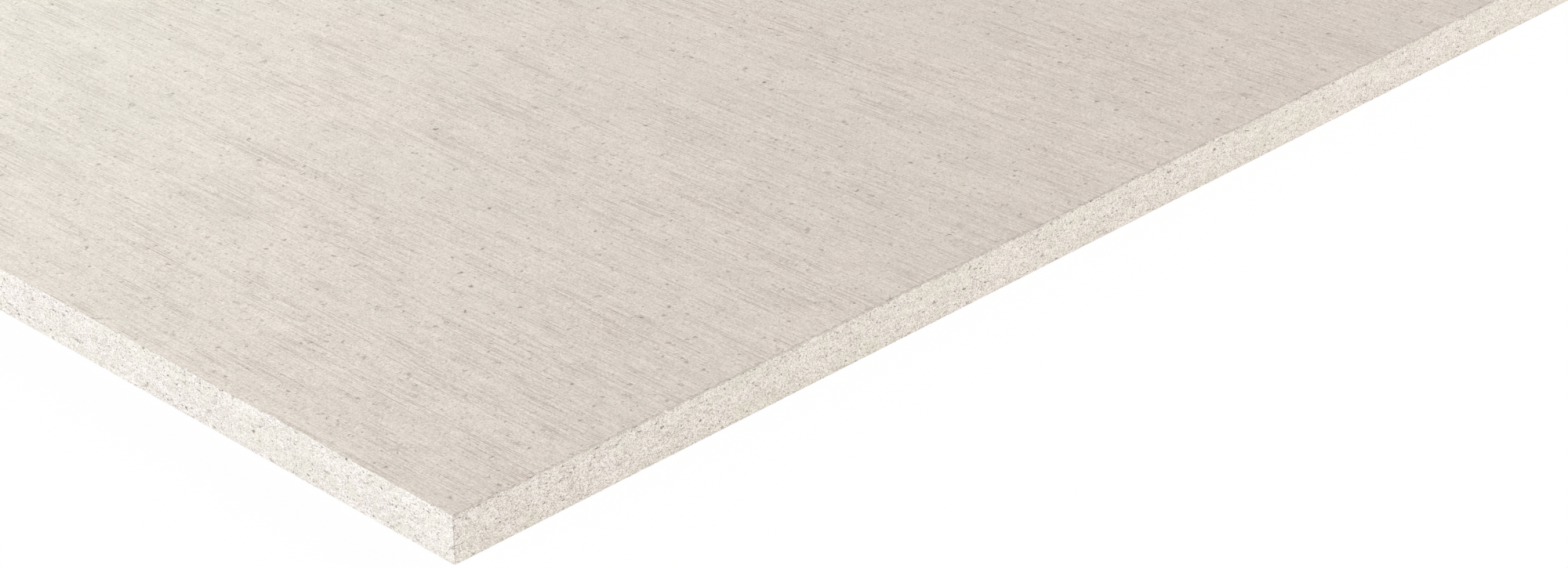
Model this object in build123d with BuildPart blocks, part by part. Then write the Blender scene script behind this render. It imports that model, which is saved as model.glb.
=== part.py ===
from build123d import *
import os

# One sheet of paperless gypsum fibreboard, lying flat with its sanded face up.
# X runs along the length, which is also the direction of sanding, Y across the width and Z up.
# The origin is at the middle of the back face.

# Driving dimensions, millimetres
length = 2400.0
width = 1200.0
thickness = 12.5

# Small bevels that sawing and handling leave where two faces meet
sanded_arris = 0.3
back_arris = 0.4
corner_arris = 0.5

# The sheet is pressed and dried as one homogeneous piece, with no facing and no core,
# and its four edges are sawn square, with no taper for jointing
with BuildPart() as drywall_sheet:
    with BuildSketch(Plane.XY):
        outline = Rectangle(length, width)
        chamfer(outline.vertices(), corner_arris)
    extrude(amount=thickness)
    sanded_face = drywall_sheet.faces().sort_by(Axis.Z)[-1]
    chamfer(sanded_face.edges(), sanded_arris)
    back_face = drywall_sheet.faces().sort_by(Axis.Z)[0]
    chamfer(back_face.edges(), back_arris)

drywall_sheet.part.label = "drywall_sheet"

os.makedirs("parts", exist_ok=True)
export_step(drywall_sheet.part, "parts/drywall_sheet.step")
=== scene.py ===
import math

import bpy
from mathutils import Matrix, Vector, noise
from mathutils.geometry import delaunay_2d_cdt


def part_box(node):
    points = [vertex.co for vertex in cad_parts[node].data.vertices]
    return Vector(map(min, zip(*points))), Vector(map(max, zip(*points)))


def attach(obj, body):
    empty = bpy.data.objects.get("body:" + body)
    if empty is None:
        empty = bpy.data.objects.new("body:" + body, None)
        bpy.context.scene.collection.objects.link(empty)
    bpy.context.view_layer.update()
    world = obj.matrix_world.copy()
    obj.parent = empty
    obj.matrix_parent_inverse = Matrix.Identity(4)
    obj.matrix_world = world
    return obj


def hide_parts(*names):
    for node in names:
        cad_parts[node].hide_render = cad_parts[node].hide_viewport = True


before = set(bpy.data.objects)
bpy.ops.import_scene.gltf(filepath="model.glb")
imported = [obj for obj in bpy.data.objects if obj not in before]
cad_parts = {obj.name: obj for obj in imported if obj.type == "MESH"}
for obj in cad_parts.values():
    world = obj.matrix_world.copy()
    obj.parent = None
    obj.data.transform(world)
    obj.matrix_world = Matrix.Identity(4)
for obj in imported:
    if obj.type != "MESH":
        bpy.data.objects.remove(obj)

# One sheet of paperless gypsum fibreboard lies flat with its sanded face up.
# The piece is built in millimetres from the frame's box, and written in metres.
NODE = "drywall_sheet"
MM = 0.001

# Places in the mesh's list of materials
SANDED, SAWN = 0, 1

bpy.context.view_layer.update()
low, high = (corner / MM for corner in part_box(NODE))
LENGTH, WIDTH, THICKNESS = high - low

# Camera, fitted to the photograph's edges. The nearest bottom corner is where they meet.
PHOTO_WIDTH = 2000
FOCAL_PIXELS = 4089.5
SENSOR = 36.0
AZIMUTH = math.radians(43.83)
ELEVATION = math.radians(27.11)
CAMERA_OFFSET = Vector((37.215, -30.443, 29.977))  # from that corner, in sheet thicknesses

# Spacing of the mesh's columns round the sawn edges: fine where the photograph looks
FINE_STEP = 0.36
COARSE_STEP = 5.0
STEP_GROWTH = 1.04
FINE_ON_LONG_EDGE = 200.0
FINE_ON_SHORT_EDGE = 440.0

# Rows of the mesh across the thickness
SIDE_ROWS = 21

# Rings of the flat faces, by their inset from the edge, and the least gap from a broken arris to
# the next ring. Inside the last ring is a grid of points, FILL_SPACING apart.
FLAT_RINGS = (0.9, 2.2, 6.0)
RING_GAP = 0.3
FILL_SPACING = 100.0

# Relief of the sawn edges, in millimetres inwards. A pit's reach is a share of the spacing between
# pits, and it deepens at a rate of PIT_DEPTH for each whole spacing towards its middle.
GRAIN_SIZE = 0.9
GRAIN_DEPTH = 0.05
GRAIN_FALLOFF, GRAIN_LACUNARITY, GRAIN_OCTAVES = 0.7, 2.0, 3
PIT_SPACING = 2.6
PIT_REACH = 0.24
PIT_DEPTH = 0.7

# Upright corners: their first column, how far along the edges they are worn, how far the lowest tip
# is worn, the height that the tip's wear ends at, and the depth for each millimetre of wear
CORNER_STEP = 0.12
CORNER_WEAR = 0.12
BOTTOM_TIP_WEAR = 0.5
TIP_HEIGHT = 1.5
WEAR_DEPTH = 0.3

# Step between one noise pattern and the next, so that no two look alike
SEED_STEP = 37.3

# Heights of the hairline crack where it runs out on the long edge, and round the corner
CRACK_LOW, CRACK_HIGH = 2.8, 4.6

# Layout of the map for baking. The sawn edges are cut into strips of a length in millimetres, stacked
# from the bottom, and get more pixels to the millimetre than the flat faces above them. The other
# values are shares of the map's side, and STRIP_INSET is a share of the pitch.
STRIP_LENGTH = 600.0
STRIP_PITCH, STRIP_HEIGHT, STRIP_INSET = 0.0235, 0.0205, 0.06
BACK_BAND = (0.287, 0.515)
TOP_BAND = (0.520, 0.997)
STRIP_MARGIN, FLAT_MARGIN = 0.012, 0.002

# Broken arrises: mean, waver and depth of the chips for the sanded face's, then for the back's
TOP_ARRIS = (0.16, 0.20, 0.4)
BACK_ARRIS = (0.09, 0.07, 0.1)
LEAST_ARRIS = 0.03
ARRIS_WAVE = 1.7
FINER_WAVE, FINER_SHARE = 0.45, 0.6  # size and strength of a second waver, in shares of the first's
CHIP_WAVE = 5.0
CHIP_START, CHIP_END = 0.30, 0.70  # values of the chips' noise where a chip begins and is deepest
ARRIS_ASPECT = 0.8  # how far a break goes down the sawn edge, for each millimetre along the face
SHARP_ANGLE = math.radians(38)

# Light of the plain white world on the object, and the share of plain white in what the camera
# sees of the floor. The rest is the floor's own shading.
AMBIENT = 0.352
FLOOR_WHITE = 0.95

# Floor, in metres: from its middle to its sides, and its gap under the sheet
FLOOR_REACH = 40.0
FLOOR_GAP = 0.0002


def clamp(value, least, most):
    return max(least, min(most, value))


def smoothstep(start, end, value):
    t = clamp((value - start) / (end - start), 0.0, 1.0)
    return t * t * (3 - 2 * t)


def stations(run, fine):
    """Distances along an edge from the photographed corner, close together for the first stretch."""
    found, step, at = [0.0], FINE_STEP, CORNER_STEP
    while at < run:
        found.append(at)
        if at > fine:
            step = min(step * STEP_GROWTH, COARSE_STEP)
        at += step
    if run - found[-1] < step / 2:
        found.pop()
    return found


def corner_rounding(distance, wear):
    """Inset that wears an upright corner of the outline off."""
    return WEAR_DEPTH * wear * (1 - clamp(distance / wear, 0, 1)) ** 2


def side_relief(p):
    """Inset of the sawn edge at a point: crumbly grain and scattered pits."""
    crumbs = noise.fractal(p / GRAIN_SIZE, GRAIN_FALLOFF, GRAIN_LACUNARITY, GRAIN_OCTAVES)
    grain = GRAIN_DEPTH * (1 + crumbs)
    nearest = noise.voronoi(p / PIT_SPACING)[0][0]
    return max(0.0, grain) + PIT_DEPTH * max(0.0, PIT_REACH - nearest)


def arris_break(p, mean, waver, chip):
    """How far an arris is broken back at a point: a fine waver and a few chips."""
    fine = noise.noise(p / ARRIS_WAVE) + FINER_SHARE * noise.noise(p / (FINER_WAVE * ARRIS_WAVE))
    chipped = smoothstep(CHIP_START, CHIP_END, noise.noise(p / CHIP_WAVE))
    return max(LEAST_ARRIS, mean + waver * fine + chip * chipped)


class Column:
    """One upright line of the mesh: its place on the outline, and how far its arrises are broken back."""

    def __init__(self, point, inward, from_corner):
        self.point, self.inward, self.from_corner = point, inward, from_corner
        self.top_break = arris_break(Vector((point.x, point.y, THICKNESS)), *TOP_ARRIS)
        self.back_break = arris_break(Vector((point.x, point.y, 0.0)), *BACK_ARRIS)

    def vertex(self, inset, height):
        xy = self.point + self.inward * inset
        return (xy.x * MM, xy.y * MM, height * MM)

    def on_flat(self, level, inset=0.0):
        """A point of the sanded face or of the back, no nearer to the edge than the broken arris."""
        if level > THICKNESS / 2:
            broken = self.top_break + corner_rounding(self.from_corner, CORNER_WEAR)
        else:
            broken = self.back_break + corner_rounding(self.from_corner, BOTTOM_TIP_WEAR)
        return self.vertex(max(inset, broken + RING_GAP) if inset else broken, level)

    def on_side(self, row):
        """A point of the sawn edge. The rows share out the height that the broken arrises leave."""
        top = THICKNESS - ARRIS_ASPECT * self.top_break
        bottom = ARRIS_ASPECT * self.back_break
        height = top + (bottom - top) * row / (SIDE_ROWS - 1)
        wear = CORNER_WEAR + (BOTTOM_TIP_WEAR - CORNER_WEAR) * smoothstep(TIP_HEIGHT, 0.0, height)
        relief = side_relief(Vector((self.point.x, self.point.y, height)))
        return self.vertex(relief + corner_rounding(self.from_corner, wear), height)


def perimeter():
    """Columns round the sheet, anticlockwise from the photographed corner."""
    right, left, front, rear = high.x, low.x, low.y, high.y
    short_side = [d / WIDTH for d in stations(WIDTH, FINE_ON_SHORT_EDGE)]
    long_side = [d / LENGTH for d in stations(LENGTH, FINE_ON_LONG_EDGE)]
    plain_long = [d / LENGTH for d in range(0, int(LENGTH), int(COARSE_STEP))]
    plain_short = [d / WIDTH for d in range(0, int(WIDTH), int(COARSE_STEP))]
    backwards = [0.0] + [1 - f for f in reversed(long_side[1:])]
    corners = [Vector(corner) for corner in ((right, front), (right, rear), (left, rear), (left, front))]
    columns = []
    for index, fractions in enumerate((short_side, plain_long, plain_short, backwards)):
        start, end = corners[index], corners[(index + 1) % 4]
        along = (end - start).normalized()
        inward = Vector((-along.y, along.x))
        run = (end - start).length
        for f in fractions:
            columns.append(Column(start.lerp(end, f), inward + along * (1 - 2 * f), min(f, 1 - f) * run))
    return columns


def build_mesh():
    columns = perimeter()
    rings = [[c.on_flat(THICKNESS, inset) for c in columns] for inset in reversed(FLAT_RINGS)]
    rings.append([c.on_flat(THICKNESS) for c in columns])
    rings += [[c.on_side(row) for c in columns] for row in range(SIDE_ROWS)]
    rings.append([c.on_flat(0.0) for c in columns])
    rings += [[c.on_flat(0.0, inset) for c in columns] for inset in FLAT_RINGS]

    count = len(columns)
    verts = [vertex for ring in rings for vertex in ring]
    faces, materials = [], []
    for strip in range(len(rings) - 1):
        sawn = len(FLAT_RINGS) <= strip < len(rings) - 1 - len(FLAT_RINGS)
        for i in range(count):
            upper, lower = strip * count, (strip + 1) * count
            j = (i + 1) % count
            faces.append((upper + i, lower + i, lower + j, upper + j))
            materials.append(SAWN if sawn else SANDED)

    last = (len(rings) - 1) * count
    fill_flat(verts, faces, materials, range(count), THICKNESS, True)
    fill_flat(verts, faces, materials, range(last, last + count), 0.0, False)
    return verts, faces, materials


def fill_flat(verts, faces, materials, ring, level, upwards):
    """Fills a flat face inside its innermost ring, with a coarse grid of points in the middle."""
    rim = [Vector(verts[i][:2]) for i in ring]
    inside = []
    columns_across, rows_across = int(LENGTH // FILL_SPACING), int(WIDTH // FILL_SPACING)
    for a in range(1, columns_across):
        for b in range(1, rows_across):
            x, y = low.x + LENGTH * a / columns_across, low.y + WIDTH * b / rows_across
            inside.append(Vector((x, y)) * MM)
    edges = [(i, (i + 1) % len(rim)) for i in range(len(rim))]
    inside_only, tolerance = 1, 1e-7
    points, _, triangles, *_ = delaunay_2d_cdt(rim + inside, edges, [], inside_only, tolerance)
    first = len(verts)
    index = {}
    for i, point in enumerate(points):
        if i < len(rim):
            index[i] = ring[i]
        else:
            index[i] = first + i - len(rim)
            verts.append((point.x, point.y, level * MM))
    for triangle in triangles:
        corners = [index[i] for i in triangle]
        faces.append(tuple(corners if upwards else reversed(corners)))
        materials.append(SANDED)


def bake_map(mesh):
    """Lays the mesh out for baking, both flat faces whole and the sawn edges in strips."""
    long_strips, short_strips = round(LENGTH / STRIP_LENGTH), round(WIDTH / STRIP_LENGTH)
    places = []
    for face in mesh.polygons:
        centre = face.center / MM
        sawn = face.material_index == SAWN
        band = TOP_BAND if centre.z > THICKNESS / 2 else BACK_BAND
        on_end = LENGTH / 2 - abs(centre.x) < WIDTH / 2 - abs(centre.y)
        if on_end:
            strip = min(int((centre.y - low.y) / STRIP_LENGTH), short_strips - 1)
            row = 2 * long_strips + strip + (short_strips if centre.x < 0 else 0)
        else:
            strip = min(int((centre.x - low.x) / STRIP_LENGTH), long_strips - 1)
            row = strip + (long_strips if centre.y > 0 else 0)
        for index in face.vertices:
            p = mesh.vertices[index].co / MM
            x, y = p.x - low.x, p.y - low.y
            if sawn:
                along = ((y if on_end else x) - strip * STRIP_LENGTH) / STRIP_LENGTH
                up = (row + STRIP_INSET) * STRIP_PITCH + STRIP_HEIGHT * p.z / THICKNESS
                places += (STRIP_MARGIN + (1 - 2 * STRIP_MARGIN) * along, up)
            else:
                across = FLAT_MARGIN + (1 - 2 * FLAT_MARGIN) * x / LENGTH
                places += (across, band[0] + (band[1] - band[0]) * y / WIDTH)
    mesh.uv_layers.new(name="OFBake").data.foreach_set("uv", places)


def srgb(red, green, blue):
    """Linear colour of a screen colour given in 0 to 255."""
    def linear(c):
        c /= 255
        return c / 12.92 if c <= 0.04045 else ((c + 0.055) / 1.055) ** 2.4
    return (linear(red), linear(green), linear(blue), 1.0)


# Dark and light tone of the sanded face, the place of its mean between them, the hue that it strays
# to, and its darker fibres. Then the same for the sawn edges, whose darker fibre colour also paints shade
# on the rim of the short edges.
SANDED_DARK, SANDED_LIGHT = srgb(176, 161, 152.5), srgb(228.5, 216.5, 208.8)
SANDED_MEAN = 0.575
SANDED_GREEN = srgb(199, 195, 184)
SANDED_SPECK = srgb(129, 115, 101)
SAWN_DARK, SAWN_LIGHT = srgb(205.5, 194.5, 186.5), srgb(252, 245.5, 241)
SAWN_MEAN = 0.615
SAWN_WARM = srgb(226, 225, 207)
SAWN_SPECK_AND_SHADE = srgb(126, 110, 95)


class Shader:
    """Adds nodes to a material's tree. A value in inputs may be a number, a colour or another socket."""

    # Standard deviation of the noise texture, by its detail
    NOISE_SPREAD = (0.117, 0.0855, 0.0743, 0.0695)

    def __init__(self, name):
        self.material = bpy.data.materials.new(name)
        self.material.use_nodes = True
        self.tree = self.material.node_tree
        self.bsdf = self.tree.nodes["Principled BSDF"]
        self.where = self.times(self.add("ShaderNodeTexCoord").outputs["Object"], (1 / MM,) * 3)
        self.x, self.y, self.z = self.add("ShaderNodeSeparateXYZ", {0: self.where}).outputs

    def add(self, kind, inputs=(), **settings):
        """A new node with its settings, and its inputs filled by their names or numbers."""
        made = self.tree.nodes.new(kind)
        for name, value in settings.items():
            setattr(made, name, value)
        for key, value in dict(inputs).items():
            self.put(made.inputs[key], value)
        return made

    def put(self, socket, value):
        if isinstance(value, bpy.types.NodeSocket):
            self.tree.links.new(value, socket)
        else:
            socket.default_value = value

    def math(self, operation, *values):
        return self.add("ShaderNodeMath", dict(enumerate(values)), operation=operation).outputs[0]

    def total(self, *values):
        found = values[0]
        for value in values[1:]:
            found = self.math("ADD", found, value)
        return found

    def times(self, vector, scale):
        return self.add("ShaderNodeVectorMath", {0: vector, 1: scale}, operation="MULTIPLY").outputs[0]

    def moved(self, vector, by):
        return self.add("ShaderNodeVectorMath", {0: vector, 1: by}, operation="ADD").outputs[0]

    def noise(self, size, spread, detail=2, seed=0):
        """Noise about zero with features of a size in millimetres, or of a size along each axis.

        Its standard deviation is the spread, and each seed gives another pattern."""
        sizes = size if isinstance(size, tuple) else (size,) * 3
        where = self.times(self.where, tuple(1 / s for s in sizes))
        where = self.moved(where, (SEED_STEP * seed,) * 3)
        made = self.add("ShaderNodeTexNoise", {"Vector": where, "Scale": 1.0, "Detail": float(detail)})
        return self.math("MULTIPLY", self.math("SUBTRACT", made.outputs["Fac"], 0.5),
                         spread / self.NOISE_SPREAD[detail])

    def inset(self, axis, size):
        """Distance inwards from the sheet's box along an axis."""
        return self.math("SUBTRACT", size / 2, self.math("ABSOLUTE", getattr(self, axis)))

    def step(self, value, start, end, low=0.0, high=1.0):
        """Goes smoothly from low to high while the value goes from start to end."""
        made = self.add("ShaderNodeMapRange", {"Value": value, "From Min": start, "From Max": end,
                                               "To Min": low, "To Max": high},
                        interpolation_type="SMOOTHSTEP", clamp=True)
        return made.outputs["Result"]

    def tint(self, colour, amount, other):
        """Colour moved towards another by an amount from 0 to 1."""
        made = self.add("ShaderNodeMix", {"Factor": amount, 6: colour, 7: other}, data_type="RGBA")
        return made.outputs[2]

    def specks(self, across, up, spacing, share, least, most, ragged=0.5, seed=0):
        """Scattered soft dots on a plane, from 0 to 1, with radii from least to most millimetres.

        Spacing is between the places for a dot, share is how many of them have one, and ragged is
        how far their outlines stray, in radii."""
        place = self.add("ShaderNodeCombineXYZ", {0: across, 1: up}).outputs[0]
        if ragged:
            where = self.moved(self.times(self.where, (1 / (1.6 * most),) * 3), (SEED_STEP * seed,) * 3)
            made = self.add("ShaderNodeTexNoise", {"Vector": where, "Scale": 1.0, "Detail": 1.0})
            stray = self.moved(made.outputs["Color"], (-0.5,) * 3)
            stray = self.times(stray, (ragged * least / self.NOISE_SPREAD[1],) * 3)
            place = self.moved(place, stray)
        place = self.moved(self.times(place, (1 / spacing,) * 3), (SEED_STEP * seed,) * 3)
        made = self.add("ShaderNodeTexVoronoi", {"Vector": place, "Scale": 1.0}, voronoi_dimensions="2D")

        # Each place's own random colour says if it has a dot, how large that is and how dark
        chance = self.add("ShaderNodeSeparateColor", {"Color": made.outputs["Color"]}).outputs
        reach = self.math("MULTIPLY_ADD", chance[1], (most - least) / spacing, least / spacing)
        inside = self.step(self.math("DIVIDE", made.outputs["Distance"], reach), 1.0, 0.3)
        strength = self.math("MULTIPLY_ADD", chance[2], 0.7, 0.3)
        return self.math("MULTIPLY", self.math("MULTIPLY", inside, strength),
                         self.math("LESS_THAN", chance[0], share))

    def weighted(self, *pairs):
        """Sum of values, each times its weight."""
        return self.total(*(self.math("MULTIPLY", value, weight) for value, weight in pairs))

    def finish(self, colour, relief, roughness, specular):
        """Connects the colour, the relief, a height in millimetres, and the gloss."""
        bump = self.add("ShaderNodeBump", {"Height": relief, "Strength": 1.0, "Distance": MM})
        self.put(self.bsdf.inputs["Base Color"], colour)
        self.put(self.bsdf.inputs["Roughness"], roughness)
        self.put(self.bsdf.inputs["Specular IOR Level"], specular)
        self.put(self.bsdf.inputs["Normal"], bump.outputs[0])
        return self.material


def sanded_face_material():
    s = Shader("sanded_face")

    # Lines of the sanding belt, all along the length. The fine ones come in bunches.
    broad = s.total(s.noise((150, 4, 5), 0.014, seed=1),
                    s.noise((110, 0.8, 5), 0.018, seed=2),
                    s.noise((40, 1.7, 5), 0.008, seed=3),
                    s.noise((10, 1.2, 5), 0.011, seed=5))
    stretched = s.math("DIVIDE", s.x, 60.0)
    pale_scratches = s.specks(stretched, s.y, 1.2, 0.45, 0.12, 0.22, ragged=0.0, seed=12)
    dark_scratches = s.specks(stretched, s.y, 1.3, 0.50, 0.12, 0.22, ragged=0.0, seed=13)
    fine = s.total(s.noise((30, 0.27, 5), 0.118, detail=1, seed=4),
                   s.noise((8, 0.29, 5), 0.098, detail=1, seed=6),
                   s.weighted((pale_scratches, 0.10), (dark_scratches, -0.32)))
    bunches = s.step(s.noise((24, 9, 9), 1.0, detail=1, seed=11), -1.3, 1.3, 0.55, 1.35)
    lines = s.total(broad, s.math("MINIMUM", s.math("MULTIPLY", fine, bunches), 0.13))

    # The board's own grain, and soft clouds in it
    grain = s.total(s.noise((1.2, 1.0, 1.0), 0.045, seed=7), s.noise(0.5, 0.12, detail=1, seed=14))
    clouds = s.total(s.noise(4, 0.017, seed=8), s.noise(16, 0.014, seed=9))

    # Marks of darker fibre
    dashes = s.specks(s.x, s.y, 2.2, 0.60, 0.20, 0.45, ragged=0.8, seed=15)
    small = s.specks(s.x, s.y, 4.0, 0.50, 0.32, 0.62, ragged=0.6, seed=16)
    medium = s.specks(s.x, s.y, 8.0, 0.50, 0.45, 0.85, ragged=0.5, seed=17)
    large = s.specks(s.x, s.y, 17.0, 0.60, 0.80, 1.40, ragged=0.5, seed=18)
    spots = s.specks(s.x, s.y, 26.0, 0.60, 0.50, 0.90, ragged=0.4, seed=19)
    dark = s.weighted((dashes, 0.60), (small, 0.75), (medium, 0.85), (large, 0.52), (spots, 0.85))

    # A darker, broken line along the edges, stronger along the short ones
    from_side, from_end = s.inset("y", WIDTH), s.inset("x", LENGTH)
    crumble = s.noise(1.4, 0.25, seed=10)
    side_line = s.step(s.math("ADD", from_side, crumble), 0.5, 0.15, 0.0, 0.12)
    end_line = s.step(s.math("ADD", from_end, crumble), 0.64, 0.38, 0.0, 0.34)

    # The tone, strayed a little towards the other hue, with the marks on top
    hue = s.total(0.12, s.noise((60, 30, 30), 0.04, seed=33), s.noise(2.2, 0.06, seed=34))
    colour = s.tint(SANDED_DARK, s.total(SANDED_MEAN, lines, grain, clouds), SANDED_LIGHT)
    colour = s.tint(colour, hue, SANDED_GREEN)
    colour = s.tint(colour, s.total(dark, side_line, end_line), SANDED_SPECK)
    relief = s.weighted((lines, 0.06), (grain, 0.08), (dark, -0.06))
    return s.finish(colour, relief, roughness=0.50, specular=0.42)


def sawn_edge_material():
    s = Shader("sawn_edge")
    along = s.math("ADD", s.x, s.y)

    # Crumbly gypsum, pale grains with dark gaps and fibres, many lying along the plane of the board
    grain = s.total(s.noise((1.4, 1.4, 0.7), 0.06, seed=21), s.noise((0.75, 0.75, 0.36), 0.12, seed=28))
    dust = s.noise((0.42, 0.42, 0.23), 0.29, detail=1, seed=29)
    clumps = s.noise((3.2, 3.2, 1.1), 0.046, seed=22)
    patches = s.noise((12, 12, 3), 0.055, seed=23)
    dots = s.specks(along, s.z, 1.2, 0.55, 0.14, 0.26, ragged=0.5, seed=24)
    dashes = s.specks(s.math("DIVIDE", along, 3.0), s.z, 1.5, 0.70, 0.12, 0.24, ragged=0.4, seed=30)
    flecks = s.specks(s.math("DIVIDE", along, 1.6), s.z, 4.2, 0.50, 0.22, 0.45, seed=25)
    cracks = s.specks(s.math("DIVIDE", along, 5.0), s.z, 5.0, 0.36, 0.13, 0.27, ragged=0.7, seed=27)
    gashes = s.specks(s.math("DIVIDE", along, 6.0), s.z, 5.5, 0.34, 0.16, 0.34, ragged=0.8, seed=37)
    white = s.specks(along, s.z, 1.9, 0.40, 0.20, 0.36, ragged=0.6, seed=26)
    dark = s.weighted((dots, 0.85), (dashes, 0.82), (flecks, 1.05), (cracks, 1.05), (gashes, 0.90))

    # Next to the corners, and along the arris under the sanded face, the short edges get painted shade
    # and the long ones a painted highlight
    from_side, from_end = s.inset("y", WIDTH), s.inset("x", LENGTH)
    on_end = s.math("LESS_THAN", from_end, from_side)
    from_corner = s.math("MAXIMUM", from_end, from_side)
    crumble = s.noise((1.3, 1.3, 3.0), 0.12, detail=1, seed=31)
    arris = s.step(s.math("ADD", s.z, crumble), THICKNESS - 0.50, THICKNESS - 0.25)
    rim = s.math("MAXIMUM", arris, s.step(from_corner, 0.6, 0.2, 0.0, 0.45))
    painted_shade_rim = s.math("MULTIPLY", rim, s.math("MULTIPLY", on_end, 0.25))
    painted_highlight_rim = s.math("MULTIPLY", rim, s.math("MULTIPLY_ADD", on_end, -0.2, 0.2))

    # A hairline crack runs round the photographed corner
    past_corner = s.math("SUBTRACT", along, (LENGTH - WIDTH) / 2)
    climb = s.step(past_corner, -3.0, 0.6, CRACK_LOW, CRACK_HIGH)
    level = s.total(climb, s.noise(1.0, 0.12, detail=1, seed=32))
    hairline = s.step(s.math("ABSOLUTE", s.math("SUBTRACT", s.z, level)), 0.14, 0.04)
    beyond = s.math("ABSOLUTE", s.math("SUBTRACT", past_corner, 0.7))
    near = s.math("MULTIPLY", s.step(beyond, 3.2, 2.0), s.math("LESS_THAN", s.y, 0.0))
    hairline = s.math("MULTIPLY", hairline, near)

    # The tone, strayed a little towards the other hue, with the marks on top. The painted highlight of
    # the rim lifts the tone, and its painted shade joins the dark marks
    white_tone = s.math("MULTIPLY", white, 0.15)
    value = s.total(SAWN_MEAN, grain, dust, clumps, patches, painted_highlight_rim, white_tone)
    warmth = s.total(0.14, s.noise((30, 30, 8), 0.05, seed=35), s.noise(3.5, 0.07, seed=36))
    dark = s.math("MINIMUM", s.total(dark, painted_shade_rim, s.math("MULTIPLY", hairline, 0.58)), 0.8)
    colour = s.tint(s.tint(SAWN_DARK, value, SAWN_LIGHT), warmth, SAWN_WARM)
    colour = s.tint(colour, dark, SAWN_SPECK_AND_SHADE)
    relief = s.weighted((grain, 0.15), (dust, 0.04), (clumps, 0.5), (dark, -0.14), (white, 0.04))
    return s.finish(colour, relief, roughness=0.9, specular=0.3)


def build_sheet():
    verts, faces, materials = build_mesh()
    mesh = bpy.data.meshes.new("gypsum_fibreboard_sheet")
    mesh.from_pydata(verts, [], faces)
    mesh.materials.append(sanded_face_material())
    mesh.materials.append(sawn_edge_material())
    mesh.polygons.foreach_set("material_index", materials)
    mesh.polygons.foreach_set("use_smooth", [True] * len(faces))
    mesh.update()
    mesh.set_sharp_from_angle(angle=SHARP_ANGLE)
    bake_map(mesh)
    sheet = bpy.data.objects.new("gypsum_fibreboard_sheet", mesh)
    bpy.context.collection.objects.link(sheet)
    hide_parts(NODE)
    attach(sheet, "root")


def area_light(name, place, target, size, strength, colour):
    """A square lamp that gives the target about strength times the light of a plain white world."""
    lamp = bpy.data.lights.new(name, "AREA")
    lamp.shape = "SQUARE"
    lamp.size = size
    lamp.color = colour
    place, target = Vector(place), Vector(target)
    away = place - target
    lamp.energy = strength * math.pi ** 2 * away.length_squared
    lit = bpy.data.objects.new(name, lamp)
    lit.matrix_world = Matrix.Translation(place) @ away.to_track_quat("Z", "Y").to_matrix().to_4x4()
    lit.visible_camera = False
    bpy.context.collection.objects.link(lit)


def add_camera():
    camera = bpy.data.cameras.new("camera")
    camera.sensor_width = SENSOR
    camera.lens = SENSOR * FOCAL_PIXELS / PHOTO_WIDTH
    camera.clip_start = 0.01
    camera.clip_end = 100
    right = Vector((math.cos(AZIMUTH), math.sin(AZIMUTH), 0))
    level, rise = math.cos(ELEVATION), math.sin(ELEVATION)
    back = Vector((math.sin(AZIMUTH) * level, -math.cos(AZIMUTH) * level, rise))
    up = back.cross(right)
    corner = Vector((high.x, low.y, low.z)) * MM
    turned = Matrix((right, up, back)).transposed().to_4x4()
    placed = bpy.data.objects.new("camera", camera)
    placed.matrix_world = Matrix.Translation(corner + CAMERA_OFFSET * THICKNESS * MM) @ turned
    bpy.context.collection.objects.link(placed)
    bpy.context.scene.camera = placed


def seen_directly(tree, share=1.0):
    """A socket that is the share for rays from the camera, a mirror or glass.

    For the light that falls on the object it is 0."""
    path = tree.nodes.new("ShaderNodeLightPath")
    found = path.outputs["Is Camera Ray"]
    for name in ("Is Glossy Ray", "Is Transmission Ray"):
        either = tree.nodes.new("ShaderNodeMath")
        either.operation = "MAXIMUM"
        tree.links.new(found, either.inputs[0])
        tree.links.new(path.outputs[name], either.inputs[1])
        found = either.outputs[0]
    scaled = tree.nodes.new("ShaderNodeMath")
    scaled.operation = "MULTIPLY"
    scaled.inputs[1].default_value = share
    tree.links.new(found, scaled.inputs[0])
    return scaled.outputs[0]


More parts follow.
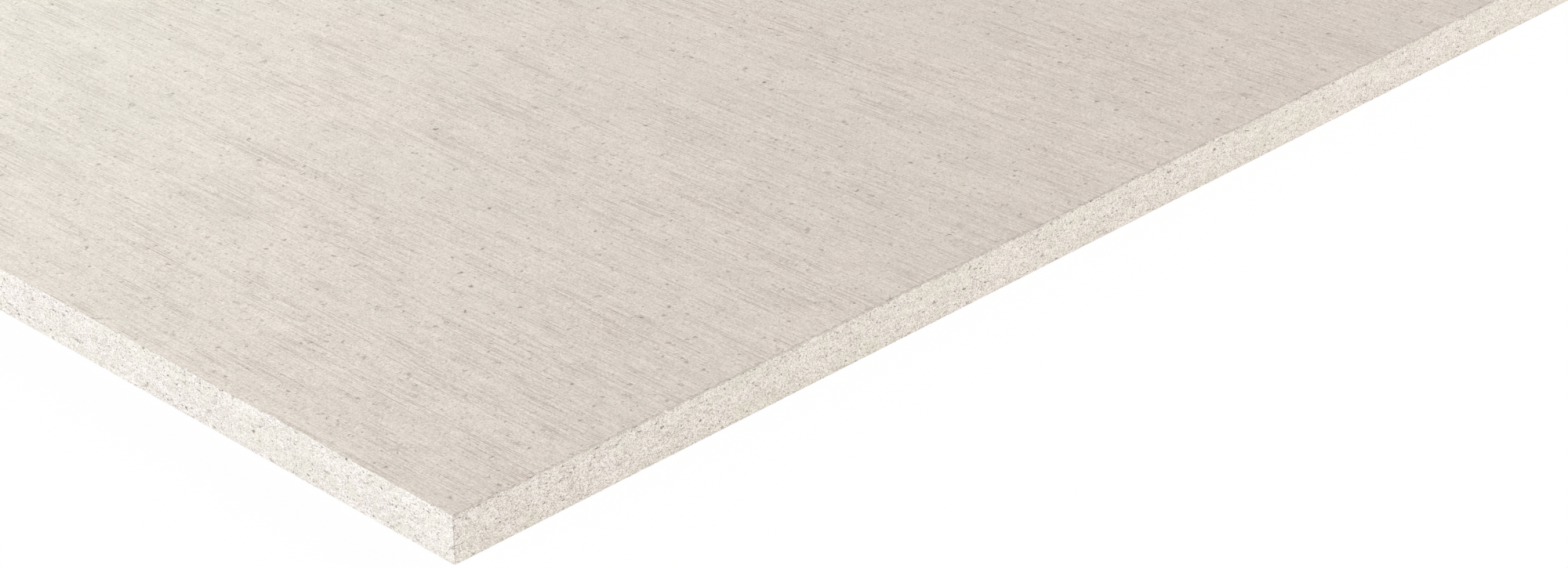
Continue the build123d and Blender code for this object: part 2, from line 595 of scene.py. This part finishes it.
def add_floor():
    mesh = bpy.data.meshes.new("floor")
    corners = [(FLOOR_REACH * x, FLOOR_REACH * y, 0) for x, y in ((-1, -1), (1, -1), (1, 1), (-1, 1))]
    mesh.from_pydata(corners, [], [(0, 1, 2, 3)])
    floor = bpy.data.objects.new("floor", mesh)
    floor.location.z = low.z * MM - FLOOR_GAP
    bpy.context.collection.objects.link(floor)
    material = bpy.data.materials.new("white_floor")
    material.use_nodes = True
    tree = material.node_tree
    bsdf = tree.nodes["Principled BSDF"]
    bsdf.inputs["Base Color"].default_value = (1, 1, 1, 1)
    bsdf.inputs["Roughness"].default_value = 1.0
    bsdf.inputs["Specular IOR Level"].default_value = 0.0
    white = tree.nodes.new("ShaderNodeEmission")
    mix = tree.nodes.new("ShaderNodeMixShader")
    tree.links.new(seen_directly(tree, FLOOR_WHITE), mix.inputs[0])
    tree.links.new(bsdf.outputs[0], mix.inputs[1])
    tree.links.new(white.outputs[0], mix.inputs[2])
    tree.links.new(mix.outputs[0], tree.nodes["Material Output"].inputs["Surface"])
    mesh.materials.append(material)


def add_world():
    world = bpy.data.worlds.new("studio")
    bpy.context.scene.world = world
    world.use_nodes = True
    tree = world.node_tree
    tree.nodes.clear()
    out = tree.nodes.new("ShaderNodeOutputWorld")
    mix = tree.nodes.new("ShaderNodeMixShader")
    light = tree.nodes.new("ShaderNodeBackground")
    white = tree.nodes.new("ShaderNodeBackground")
    light.inputs["Color"].default_value = (1, 1, 1, 1)
    light.inputs["Strength"].default_value = AMBIENT
    white.inputs["Color"].default_value = (1, 1, 1, 1)
    tree.links.new(seen_directly(tree), mix.inputs[0])
    tree.links.new(light.outputs[0], mix.inputs[1])
    tree.links.new(white.outputs[0], mix.inputs[2])
    tree.links.new(mix.outputs[0], out.inputs["Surface"])


build_sheet()
add_camera()
add_floor()
add_world()

# Three soft lamps, in metres: one for each photographed edge, and one low down on the far side for
# the sheen of the sanded face
area_light("front_left", place=(-0.1, -3.3, 1.6), target=(1.0, -0.6, 0), size=3.6,
           strength=0.94, colour=(0.97, 1.003, 1.042))
area_light("right_fill", place=(3.4, 3.2, 2.2), target=(1.2, -0.3, 0), size=3.6,
           strength=0.905, colour=(0.98, 0.965, 0.915))
area_light("far_sheen", place=(-5.95, 3.24, 1.94), target=(0.9, -0.4, 0), size=3.0,
           strength=0.29, colour=(0.87, 1.0, 0.89))

scene = bpy.context.scene
scene.view_settings.view_transform = "Standard"
